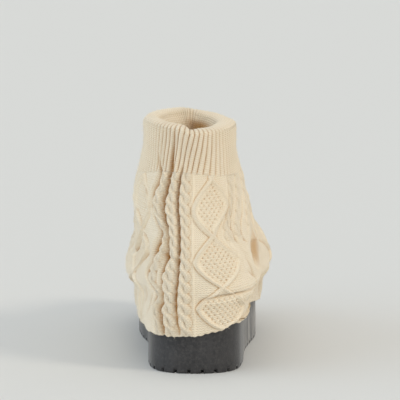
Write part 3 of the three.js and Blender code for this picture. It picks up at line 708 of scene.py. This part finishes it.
# painted shade deep inside the front of the collar, and in the rib's furrows over the roll and inside
pit = smooth(depthIn, 0, collar["pitDepth"]) * bells(collar["pit"])[None, :]
collarHollow = np.concatenate([hollow[ribRow:], np.maximum(np.repeat(furrow[-1:], extra, 0), pit)])
knitCollar = meshFromGrid("knit_collar", collarGrid, np.concatenate([stitchGrid[ribRow:], rimStitch]),
                          np.concatenate([knitFace[ribRow:], np.ones((extra, len(turns)))]), collarHollow)
print("collar ribbed", collarGrid.shape)

# Plain inside of the knit, from the hem up into the collar.

lining = {"columns": 190, "rows": 90, "above": 0.3, "giveReach": 8, "giveBlur": 3,
          "wales": 210, "courses": 5.5}  # stitches round, and courses to a ring
liningTurns = -0.5 + np.arange(lining["columns"] + 1) / lining["columns"]
liningRings = np.linspace(0, ribRing + lining["above"], lining["rows"] + 1)
pressed = np.maximum(sunk + tucked, 0)  # the inside gives way behind every crease
for axis in (0, 1):
    shifts = range(-lining["giveReach"], lining["giveReach"] + 1)
    pressed = np.max([np.roll(pressed, k, axis) for k in shifts], axis=0)
liningRow = np.interp(liningRings, rings, np.arange(len(rings)))[:, None]
liningColumn = np.interp(liningTurns, turns, np.arange(len(turns)))[None, :]
give = gridValue(blurred(pressed, lining["giveBlur"]), *np.broadcast_arrays(liningRow, liningColumn))
liningGrid, _ = slouched(liningTurns[None, :], liningRings[:, None], upperForm["wall"] + give)
liningStitch = np.stack(np.broadcast_arrays(liningTurns[None, :] * lining["wales"],
                                            liningRings[:, None] * lining["courses"]), -1)
plain = np.zeros(liningGrid.shape[:2])
knitInside = meshFromGrid("knit_inside", liningGrid, liningStitch, plain, plain, flip=True)

# Platform sole with its edge lugs.


def soleBottom(y):
    rise = np.maximum(0, (y - soleForm["springStart"]) / (soleForm["length"] - soleForm["springStart"]))
    return soleForm["toeSpring"] * rise * rise


def soleTop(y):
    slope = smooth(y, soleForm["slopeStart"], soleForm["slopeEnd"])
    return soleForm["heelTop"] + (soleForm["ballTop"] - soleForm["heelTop"]) * slope + soleBottom(y)


def evenOutline(standOff, bridged, count):  # outline points at equal steps, with outward normals
    p = soleOutline(standOff, bridged, soleForm["outlinePoints"])
    p = np.vstack([p, p[:1]])
    run = np.r_[0, np.cumsum(np.linalg.norm(np.diff(p, axis=0), axis=1))]
    at = np.arange(count) / count * run[-1]
    q = np.stack([np.interp(at, run, p[:, k]) for k in (0, 1)], 1)
    along = np.roll(q, -1, axis=0) - np.roll(q, 1, axis=0)
    along /= np.linalg.norm(along, axis=1)[:, None]
    return q, np.stack([along[:, 1], -along[:, 0]], 1), run[-1]


def meshFromRings(name, rows, capFirst, capLast):  # stacked closed rows, capped by ladders of quads
    count = len(rows[0])
    points = np.concatenate(rows)
    faces = []
    i = np.arange(count)
    for j in range(len(rows) - 1):
        a, b = j * count + i, j * count + (i + 1) % count
        faces.append(np.stack([a, b, b + count, a + count], 1))
    faces = np.concatenate(faces).tolist()
    half = count // 2
    for start, wanted, flip in ((0, capFirst, True), ((len(rows) - 1) * count, capLast, False)):
        if not wanted:
            continue
        for k in range(half):
            ring = [start + k, start + k + 1, start + (count - k - 1) % count, start + (count - k) % count]
            ring = list(dict.fromkeys(ring))
            faces.append(ring[::-1] if flip else ring)
    mesh = bpy.data.meshes.new(name)
    mesh.from_pydata(toFrame(points).tolist(), [], faces)
    mesh.validate()
    mesh.shade_smooth()
    piece = bpy.data.objects.new(name, mesh)
    bpy.context.scene.collection.objects.link(piece)
    return piece


soleCount = soleForm["columns"]
edge, outward, around = evenOutline(0, False, soleCount)
lugCount = round(around / soleForm["lugPitch"])
lugPlace = ((np.arange(soleCount) / soleCount * lugCount) % 1 - 0.5) * around / lugCount
notch = np.abs(lugPlace) < soleForm["lugWidth"] / 2
floorZ, topZ = soleBottom(edge[:, 1]), soleTop(edge[:, 1])
soleProfile = [  # inset, height above the underside or below the top, part of a lug groove
    (11, 0.0, "low", False), (1.2, 0.0, "low", True), (0.35, 0.35, "low", True), (0, 1.2, "low", True),
    (0, soleForm["lugHeight"], "low", True), (0, soleForm["lugHeight"] + 0.06, "low", False),
    (-0.15, 5.5, "low", False), (0, 12, "low", False), (0.1, 20, "low", False), (0.25, 28, "low", False),
    (0.4, 2.5, "high", False), (0.8, 0.8, "high", False), (1.8, 0.0, "high", False),
]
soleRows = []
for inset, height, end, grooved in soleProfile:
    step = np.where(notch, soleForm["lugDepth"], inset) if grooved else np.full(soleCount, float(inset))
    z = floorZ + height if end == "low" else topZ - height
    soleRows.append(np.column_stack([edge - outward * step[:, None], z]))
soleBody = meshFromRings("platform", soleRows, True, True)
print("sole moulded", lugCount, "lugs")

# Footbed: a thin pad, a little dished, with a raised rim at the heel.

footbed = {
    "inset": 1.9, "clearance": 0.35, "heelCup": 2.0, "cupFade": (40, 120), "cupWidth": 18, "columns": 320,
    "profile": [  # inset, height
        (0.6, 0), (0, 0.6), (0, 3.2), (0.5, 4.4), (1.6, 5), (5, 5), (11, 4.7), (20, 4.5), (30, 4.6),
    ],
}
padEdge, padOut, _ = evenOutline(-footbed["inset"], True, footbed["columns"])
padBase = soleTop(padEdge[:, 1]) + footbed["clearance"]
cup = footbed["heelCup"] * (1 - smooth(padEdge[:, 1], *footbed["cupFade"]))
padRows = []
for inset, height in footbed["profile"]:
    rim = cup * np.clip(1 - inset / footbed["cupWidth"], 0, 1) if height > 1 else 0
    padRows.append(np.column_stack([padEdge - padOut * inset, padBase + height + rim]))
footbedPad = meshFromRings("footbed", padRows, True, True)
print("footbed laid")

# Materials; pattern sizes are in mm.


def linear(hexColour):
    channels = [int(hexColour[k : k + 2], 16) / 255 for k in (1, 3, 5)]
    return tuple(c / 12.92 if c <= 0.04045 else ((c + 0.055) / 1.055) ** 2.4 for c in channels) + (1.0,)


def addNode(tree, kind, settings=None, links=None):  # a node given as a link's source lends its first output
    node = tree.nodes.new(kind)
    for key, value in (settings or {}).items():
        if isinstance(key, int) or key in node.inputs:
            node.inputs[key].default_value = value
        else:
            setattr(node, key, value)
    for key, source in (links or {}).items():
        socket = source.outputs[0] if isinstance(source, bpy.types.Node) else source
        tree.links.new(socket, node.inputs[key])
    return node


def newMaterial(name, finish):  # finish holds the constants of the shader's own sockets
    material = bpy.data.materials.new(name)
    material.use_nodes = True
    tree = material.node_tree
    tree.nodes.clear()
    shader = addNode(tree, "ShaderNodeBsdfPrincipled", finish)
    addNode(tree, "ShaderNodeOutputMaterial", links={"Surface": shader})
    return material, tree, shader


yarnLook = {
    "light": "#f7ebd4", "shade": "#efdfc3", "hollow": "#c18b3e", "cloud": 30,
    "stitchDepth": 0.3, "veeSlant": 1.3, "purlWave": 0.16, "purlRise": 0.9,
    "fibre": 0.9, "fibreRise": 0.9,  # real fibre is finer, and is drawn coarser so that it shows
    "stitchGapShadeShare": 0.2, "hollowShare": 0.96,
    "finish": {"Roughness": 0.92, "IOR": 1.53, "Specular IOR Level": 0.2,
               "Sheen Weight": 0.25, "Sheen Roughness": 0.6},
}


def yarnMaterial(name, look):  # chunky cream yarn: dull and soft, painted warm shade in its hollows and between stitches, a faint halo
    material, tree, shader = newMaterial(name, look["finish"])
    uv = addNode(tree, "ShaderNodeUVMap", {"uv_map": "stitch"})
    parts = addNode(tree, "ShaderNodeSeparateXYZ", links={0: uv})
    across, course = parts.outputs[0], parts.outputs[1]
    # knit stitches: a vee of two slanting legs on each wale
    wale = addNode(tree, "ShaderNodeMath", {"operation": "FRACT"}, {0: across})
    offCentre = addNode(tree, "ShaderNodeMath", {"operation": "SUBTRACT", 1: 0.5}, {0: wale})
    leg = addNode(tree, "ShaderNodeMath", {"operation": "ABSOLUTE"}, {0: offCentre})
    veeCourse = addNode(tree, "ShaderNodeMath", {"operation": "MULTIPLY_ADD", 1: look["veeSlant"]},
                        {0: leg, 2: course})
    veeTurn = addNode(tree, "ShaderNodeMath", {"operation": "MULTIPLY", 1: 2 * math.pi}, {0: veeCourse})
    vee = addNode(tree, "ShaderNodeMath", {"operation": "SINE"}, {0: veeTurn})
    # purl stitches: wavy bars across the wales
    waleTurn = addNode(tree, "ShaderNodeMath", {"operation": "MULTIPLY", 1: 2 * math.pi}, {0: across})
    waleWave = addNode(tree, "ShaderNodeMath", {"operation": "COSINE"}, {0: waleTurn})
    purlCourse = addNode(tree, "ShaderNodeMath", {"operation": "MULTIPLY_ADD", 1: look["purlWave"]},
                         {0: waleWave, 2: course})
    purlTurn = addNode(tree, "ShaderNodeMath", {"operation": "MULTIPLY", 1: 2 * math.pi}, {0: purlCourse})
    purlBar = addNode(tree, "ShaderNodeMath", {"operation": "SINE"}, {0: purlTurn})
    purl = addNode(tree, "ShaderNodeMath", {"operation": "MULTIPLY", 1: look["purlRise"]}, {0: purlBar})
    knitFace = addNode(tree, "ShaderNodeAttribute", {"attribute_name": "knitFace"})
    stitch = addNode(tree, "ShaderNodeMix", {"data_type": "FLOAT"},
                     {0: knitFace.outputs["Fac"], 2: purl, 3: vee})
    place = addNode(tree, "ShaderNodeTexCoord").outputs["Object"]
    fibre = addNode(tree, "ShaderNodeTexNoise",
                    {"Scale": 1000 / look["fibre"], "Detail": 3.0, "Roughness": 0.7}, {"Vector": place})
    height = addNode(tree, "ShaderNodeMath", {"operation": "MULTIPLY_ADD", 1: look["fibreRise"]},
                     {0: fibre, 2: stitch})
    bump = addNode(tree, "ShaderNodeBump", {"Strength": 0.8, "Distance": look["stitchDepth"] / 1000},
                   {"Height": height})
    cloud = addNode(tree, "ShaderNodeTexNoise", {"Scale": 1000 / look["cloud"], "Detail": 2.0},
                    {"Vector": place})
    tone = addNode(tree, "ShaderNodeMix",
                   {"data_type": "RGBA", 6: linear(look["light"]), 7: linear(look["shade"])}, {0: cloud})
    # painted warm shade: the share laid on the mesh mixes the yarn's tone toward the warm hollow colour
    hollow = addNode(tree, "ShaderNodeAttribute", {"attribute_name": "hollow"})
    # painted shade between the stitches: darker where the stitch pattern is low
    stitchGapShade = addNode(tree, "ShaderNodeMapRange",
                      {"From Min": 0.1, "From Max": -1.0, "To Max": look["stitchGapShadeShare"]},
                      {"Value": stitch})
    paintedShade = addNode(tree, "ShaderNodeMath", {"operation": "MULTIPLY_ADD", 1: look["hollowShare"]},
                   {0: hollow.outputs["Fac"], 2: stitchGapShade})
    hollowShare = addNode(tree, "ShaderNodeClamp", links={0: paintedShade})
    colour = addNode(tree, "ShaderNodeMix", {"data_type": "RGBA", 7: linear(look["hollow"])},
                     {0: hollowShare, 6: tone.outputs[2]})
    tree.links.new(colour.outputs[2], shader.inputs["Base Color"])
    tree.links.new(bump.outputs[0], shader.inputs["Normal"])
    return material


rubberLook = {
    "dark": "#161517", "dusty": "#2d2b2c", "paleScuffAndHighlight": "#a9a49e",
    "cloud": 22, "streak": 6, "streakDraw": 0.12, "speck": 2.6, "grain": 1.2, "grainDepth": 0.25,
    "outerFrom": 36, "outerTo": 42,  # the pale streaks lie on the outer side, this far from the middle; part scuffs, part painted highlight
    "innerShare": 0.05, "streakShare": 0.75, "speckShare": 0.13, "smoothest": 0.42, "roughest": 0.62,
    "finish": {"IOR": 1.52, "Sheen Weight": 0.36, "Sheen Roughness": 0.35},
}


def rubberMaterial(name, look):  # black foamed rubber: matte, dusty, pale streaks on the outer side, part scuffs and part painted highlight
    material, tree, shader = newMaterial(name, look["finish"])
    place = addNode(tree, "ShaderNodeTexCoord").outputs["Object"]
    cloud = addNode(tree, "ShaderNodeTexNoise",
                    {"Scale": 1000 / look["cloud"], "Detail": 5.0, "Roughness": 0.62}, {"Vector": place})
    dust = addNode(tree, "ShaderNodeMapRange", {"From Min": 0.35, "From Max": 0.75}, {"Value": cloud})
    tone = addNode(tree, "ShaderNodeMix",
                   {"data_type": "RGBA", 6: linear(look["dark"]), 7: linear(look["dusty"])}, {0: dust})
    drawn = addNode(tree, "ShaderNodeMapping", {"Scale": (1.0, 1.0, look["streakDraw"])}, {"Vector": place})
    streak = addNode(tree, "ShaderNodeTexNoise",
                     {"Scale": 1000 / look["streak"], "Detail": 4.0, "Roughness": 0.65}, {"Vector": drawn})
    streakShare = addNode(tree, "ShaderNodeMapRange",
                          {"From Min": 0.36, "From Max": 0.6, "To Max": look["streakShare"]},
                          {"Value": streak})
    parts = addNode(tree, "ShaderNodeSeparateXYZ", links={0: place})
    outer = addNode(tree, "ShaderNodeMapRange",
                    {"From Min": look["outerFrom"] / 1000, "From Max": look["outerTo"] / 1000,
                     "To Min": look["innerShare"]},
                    {"Value": parts.outputs[0]})
    patch = addNode(tree, "ShaderNodeMapRange", {"From Min": 0.3, "From Max": 0.56}, {"Value": cloud})
    patches = addNode(tree, "ShaderNodeMath", {"operation": "MULTIPLY"}, {0: streakShare, 1: patch})
    # pale streaks kept to the outer side: part scuffs, part painted highlight where the light falls
    scuffAndHighlight = addNode(tree, "ShaderNodeMath", {"operation": "MULTIPLY"}, {0: patches, 1: outer})
    speck = addNode(tree, "ShaderNodeTexNoise",
                    {"Scale": 1000 / look["speck"], "Detail": 4.0, "Roughness": 0.75}, {"Vector": place})
    speckShare = addNode(tree, "ShaderNodeMapRange",
                         {"From Min": 0.42, "From Max": 0.8, "To Max": look["speckShare"]}, {"Value": speck})
    wearAndHighlight = addNode(tree, "ShaderNodeMath", {"operation": "MAXIMUM"}, {0: scuffAndHighlight, 1: speckShare})
    colour = addNode(tree, "ShaderNodeMix", {"data_type": "RGBA", 7: linear(look["paleScuffAndHighlight"])},
                     {0: wearAndHighlight, 6: tone.outputs[2]})
    grain = addNode(tree, "ShaderNodeTexNoise", {"Scale": 1000 / look["grain"], "Detail": 2.0},
                    {"Vector": place})
    bump = addNode(tree, "ShaderNodeBump", {"Strength": 0.6, "Distance": look["grainDepth"] / 1000},
                   {"Height": grain})
    rough = addNode(tree, "ShaderNodeMapRange", {"To Min": look["smoothest"], "To Max": look["roughest"]},
                    {"Value": cloud})
    tree.links.new(colour.outputs[2], shader.inputs["Base Color"])
    tree.links.new(rough.outputs[0], shader.inputs["Roughness"])
    tree.links.new(bump.outputs[0], shader.inputs["Normal"])
    return material


hairLook = {"light": "#fbf1de", "shade": "#efe0c4", "cloud": 4, "finish": {"Roughness": 0.9}}


def hairMaterial(name, look):  # single wool hairs: a pale, dull bloom along the edges
    material, tree, shader = newMaterial(name, look["finish"])
    place = addNode(tree, "ShaderNodeTexCoord").outputs["Object"]
    cloud = addNode(tree, "ShaderNodeTexNoise", {"Scale": 1000 / look["cloud"]}, {"Vector": place})
    tone = addNode(tree, "ShaderNodeMix",
                   {"data_type": "RGBA", 6: linear(look["light"]), 7: linear(look["shade"])}, {0: cloud})
    tree.links.new(tone.outputs[2], shader.inputs["Base Color"])
    return material


feltLook = {"light": "#d9cbb0", "shade": "#c4b394", "nap": 1.5, "napDepth": 0.5,
            "finish": {"Roughness": 0.95, "Sheen Weight": 0.2}}


def feltMaterial(name, look):  # brushed face of the footbed: dull, soft and faintly flecked
    material, tree, shader = newMaterial(name, look["finish"])
    place = addNode(tree, "ShaderNodeTexCoord").outputs["Object"]
    nap = addNode(tree, "ShaderNodeTexNoise", {"Scale": 1000 / look["nap"], "Detail": 4.0}, {"Vector": place})
    tone = addNode(tree, "ShaderNodeMix",
                   {"data_type": "RGBA", 6: linear(look["light"]), 7: linear(look["shade"])}, {0: nap})
    bump = addNode(tree, "ShaderNodeBump", {"Strength": 0.6, "Distance": look["napDepth"] / 1000},
                   {"Height": nap})
    tree.links.new(tone.outputs[2], shader.inputs["Base Color"])
    tree.links.new(bump.outputs[0], shader.inputs["Normal"])
    return material


creamYarn = yarnMaterial("creamWoolYarn", yarnLook)
soleRubber = rubberMaterial("blackFoamRubber", rubberLook)
brushedFelt = feltMaterial("brushedFelt", feltLook)
woolHair = hairMaterial("strayWoolHair", hairLook)

# Stray fibres standing off the yarn: bent blades strewn over the outside by Geometry Nodes. Wool is
# finer than this width, which is drawn coarser so that it shows.
fuzz = {"perSquareMm": 0.2, "shortest": 1.0, "longest": 2.8, "width": 0.13, "seed": 7, "every": 3}


def fibreTree():  # inputs in metres; ends in realized fibres alone, without the cloth they stand on
    tree = bpy.data.node_groups.new("strayFibres", "GeometryNodeTree")
    tree.interface.new_socket("Geometry", in_out="INPUT", socket_type="NodeSocketGeometry")
    for title, kind in (("Density", "Float"), ("Shortest", "Float"), ("Longest", "Float"), ("Width", "Float"),
                        ("Seed", "Int"), ("Material", "Material")):
        tree.interface.new_socket(title, in_out="INPUT", socket_type="NodeSocket" + kind)
    tree.interface.new_socket("Geometry", in_out="OUTPUT", socket_type="NodeSocketGeometry")
    given = addNode(tree, "NodeGroupInput").outputs
    hollow = addNode(tree, "GeometryNodeInputNamedAttribute", {"data_type": "FLOAT", "Name": "hollow"})
    raised = addNode(tree, "ShaderNodeMath",  # few hairs in the hollows
                    {"operation": "MULTIPLY_ADD", "use_clamp": True, 1: -2.5, 2: 1.0},
                    {0: hollow.outputs["Attribute"]})
    density = addNode(tree, "ShaderNodeMath", {"operation": "MULTIPLY"}, {0: raised, 1: given["Density"]})
    strewn = addNode(tree, "GeometryNodeDistributePointsOnFaces", {},
                     {"Mesh": given["Geometry"], "Density": density, "Seed": given["Seed"]})
    spine = addNode(tree, "GeometryNodeCurveQuadraticBezier",
                    {"Resolution": 2, "Start": (0, 0, 0), "Middle": (0.1, 0, 0.6), "End": (0.9, 0, 0.6)})
    halfWide = addNode(tree, "ShaderNodeMath", {"operation": "MULTIPLY", 1: 0.5}, {0: given["Width"]})
    otherHalf = addNode(tree, "ShaderNodeMath", {"operation": "MULTIPLY", 1: -0.5}, {0: given["Width"]})
    leftEdge = addNode(tree, "ShaderNodeCombineXYZ", {}, {"X": otherHalf})
    rightEdge = addNode(tree, "ShaderNodeCombineXYZ", {}, {"X": halfWide})
    across = addNode(tree, "GeometryNodeCurvePrimitiveLine", {},
                     {"Start": leftEdge, "End": rightEdge})
    blade = addNode(tree, "GeometryNodeCurveToMesh", {},
                    {"Curve": spine, "Profile Curve": across})
    upright = addNode(tree, "FunctionNodeAlignRotationToVector", {"axis": "Z"},
                      {"Vector": strewn.outputs["Normal"]})
    spin = addNode(tree, "FunctionNodeRandomValue", {"data_type": "FLOAT_VECTOR", 1: (0, 0, 2 * math.pi)},
                   {"Seed": given["Seed"]})
    turned = addNode(tree, "FunctionNodeRotateRotation", {"rotation_space": "LOCAL"},
                     {"Rotation": upright, "Rotate By": spin})
    length = addNode(tree, "FunctionNodeRandomValue", {"data_type": "FLOAT"},
                     {2: given["Shortest"], 3: given["Longest"], "Seed": given["Seed"]})
    lengths = addNode(tree, "ShaderNodeCombineXYZ", {"Y": 1.0},
                      {"X": length.outputs[1], "Z": length.outputs[1]})
    planted = addNode(tree, "GeometryNodeInstanceOnPoints", {},
                      {"Points": strewn, "Instance": blade,
                       "Rotation": turned, "Scale": lengths})
    real = addNode(tree, "GeometryNodeRealizeInstances", {}, {"Geometry": planted})
    finished = addNode(tree, "GeometryNodeSetMaterial", {},
                       {"Geometry": real, "Material": given["Material"]})
    addNode(tree, "NodeGroupOutput", {}, {"Geometry": finished})
    return tree


every = fuzz["every"]
fuzzRows = np.concatenate([surface[::every], np.array(rolled)[::every]])[:, ::every]
fuzzHollow = np.concatenate([hollow[::every], collarHollow[-extra : -len(inner)][::every]])[:, ::every]
carrier = meshFromGrid("fuzz_carrier", fuzzRows, np.zeros(fuzzRows.shape[:2] + (2,)), fuzzHollow, fuzzHollow)
strewing = carrier.modifiers.new("strayFibres", "NODES")
strewing.node_group = fibreTree()
fuzzInput = {"Density": fuzz["perSquareMm"] * 1e6, "Shortest": fuzz["shortest"] / 1000,
             "Longest": fuzz["longest"] / 1000, "Width": fuzz["width"] / 1000, "Seed": fuzz["seed"],
             "Material": woolHair}
for socket in strewing.node_group.interface.items_tree:
    if socket.in_out == "INPUT" and socket.name in fuzzInput:
        strewing[socket.identifier] = fuzzInput[socket.name]
evaluated = carrier.evaluated_get(bpy.context.evaluated_depsgraph_get())
fuzzMesh = bpy.data.meshes.new_from_object(evaluated)
fuzzMesh.name = "knit_fuzz"
knitFuzz = bpy.data.objects.new("knit_fuzz", fuzzMesh)
bpy.context.scene.collection.objects.link(knitFuzz)
carrier.modifiers.remove(strewing)
bpy.data.objects.remove(carrier)
print("fibres raised", len(fuzzMesh.polygons) // 2)

for piece in (*knitPieces, knitCollar, knitInside, knitFuzz):
    if piece is not knitFuzz:
        piece.data.materials.append(creamYarn)
    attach(piece, "root")
    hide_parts("knit_upper")
for piece, material, node, slotName in ((soleBody, soleRubber, "platform_sole", "sole_rubber"),
                                        (footbedPad, brushedFelt, "insole", "footbed")):
    piece.data.materials.append(material)
    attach(piece, "root")
    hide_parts(node)
print("materials given")

# Floor and light.

studio = {"floor": "#dad9d5", "floorReach": 20, "sky": (0.96, 0.985, 1.0), "skyStrength": 0.75,
          "lights": [  # name, strength, angle, colour, direction it comes from
              ("keyLight", 0.82, 16, (1.0, 0.92, 0.79), (0.8, -0.42, 0.6)),
              ("frontFill", 0.35, 50, (1.0, 0.97, 0.93), (-0.1, -0.93, 0.36)),
              ("coolFill", 1.2, 70, (0.62, 0.81, 1.0), (-1.0, -0.22, 0.22))]}
floorMesh = bpy.data.meshes.new("floor")
far = studio["floorReach"]
floorMesh.from_pydata([(-far, -far, 0), (far, -far, 0), (far, far, 0), (-far, far, 0)], [], [(0, 1, 2, 3)])
floor = bpy.data.objects.new("floor", floorMesh)
bpy.context.scene.collection.objects.link(floor)
# pale paper: a plain dull sheet that takes the soft shadow
paper, _, _ = newMaterial("palePaper", {"Base Color": linear(studio["floor"]), "Roughness": 0.9})
floorMesh.materials.append(paper)

world = bpy.data.worlds.new("studio")
bpy.context.scene.world = world
world.use_nodes = True
sky = world.node_tree.nodes["Background"]
sky.inputs[0].default_value = (*studio["sky"], 1)
sky.inputs[1].default_value = studio["skyStrength"]
for name, strength, angle, colour, (fromX, fromY, fromZ) in studio["lights"]:
    lamp = bpy.data.lights.new(name, "SUN")
    lamp.energy, lamp.angle, lamp.color = strength, math.radians(angle), colour
    light = bpy.data.objects.new(name, lamp)
    bpy.context.scene.collection.objects.link(light)
    light.rotation_euler = (math.atan2(math.hypot(fromX, fromY), fromZ), 0, math.atan2(fromX, -fromY))
bpy.context.scene.view_settings.view_transform = "Standard"
print("studio lit")
